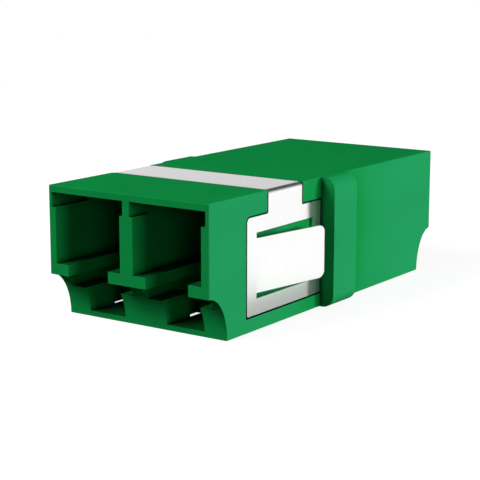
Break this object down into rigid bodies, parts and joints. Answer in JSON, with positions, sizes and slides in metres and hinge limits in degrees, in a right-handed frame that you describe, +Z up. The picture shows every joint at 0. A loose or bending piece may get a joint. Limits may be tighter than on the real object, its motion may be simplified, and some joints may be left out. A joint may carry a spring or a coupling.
{
  "type": "lc duplex fibre coupler",
  "caption": "LC duplex fibre coupler: green moulded body with plug ports at both ends, ceramic split sleeves inside and a folded steel clip that snaps it into a panel cut-out.",
  "frame": {"origin": "on the flat underside, below the middle of the body", "axes": "+Y along the plugs from the clip's end to the other, +X across the two ports, +Z up from the latch side"},
  "size_m": [0.0148, 0.0282, 0.0088],
  "materials": {
    "housing_plastic": "fine moulded satin",
    "spring_steel": "bright rolled stainless sheet",
    "zirconia": "ground white ceramic",
    "holder_plastic": "moulded satin"
  },
  "bodies": {
    "root": {"housing": "housing_plastic", "panel_clip": "spring_steel", "left_split_sleeve": "zirconia", "right_split_sleeve": "zirconia", "front_left_holder": "holder_plastic", "front_right_holder": "holder_plastic", "rear_left_holder": "holder_plastic", "rear_right_holder": "holder_plastic"}
  },
  "joints": []
}
